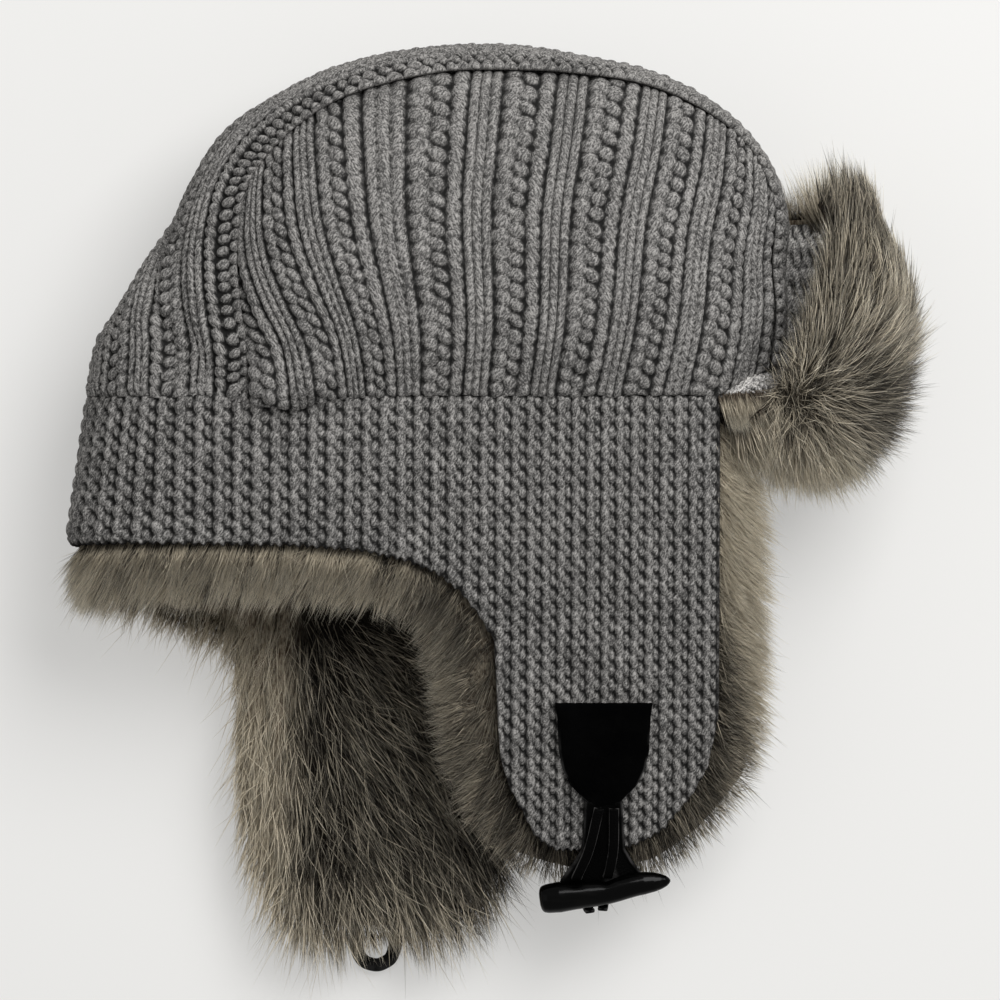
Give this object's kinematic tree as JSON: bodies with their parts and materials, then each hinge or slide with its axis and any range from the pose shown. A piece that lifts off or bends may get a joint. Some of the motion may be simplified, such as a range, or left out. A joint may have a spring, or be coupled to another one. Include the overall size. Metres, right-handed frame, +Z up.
{
  "type": "knit hat",
  "caption": "Ribbed knit hat with pile-lined ear flaps, a turned-up pile front flap and a toggle and loop fastening, lying on its side.",
  "frame": {"origin": "middle of the base of the hat's bounding box as it lies on its left side", "axes": "+X the hat's front, +Y its top, +Z up from the surface and out of its right side"},
  "size_m": [0.3468, 0.3728, 0.1074],
  "materials": {
    "knit": "chunky heathered wool knitting, matt",
    "fur": "deep taupe pile with paler tips",
    "suede": "black suede, matt",
    "leather": "black leather, soft shine",
    "horn": "black, high gloss"
  },
  "bodies": {
    "root": {"crown_near_panel": "knit", "crown_strip": "knit", "crown_far_panel": "knit", "flap_band": "knit", "fur_lining": "fur", "front_flap_knit": "knit", "front_flap_fur": "fur", "patch_near": "suede", "tongue_near": "leather", "strap_near_rear": "leather", "strap_near_front": "leather", "toggle": "horn", "patch_far": "suede", "tongue_far": "leather", "loop_far": "leather"}
  },
  "joints": []
}
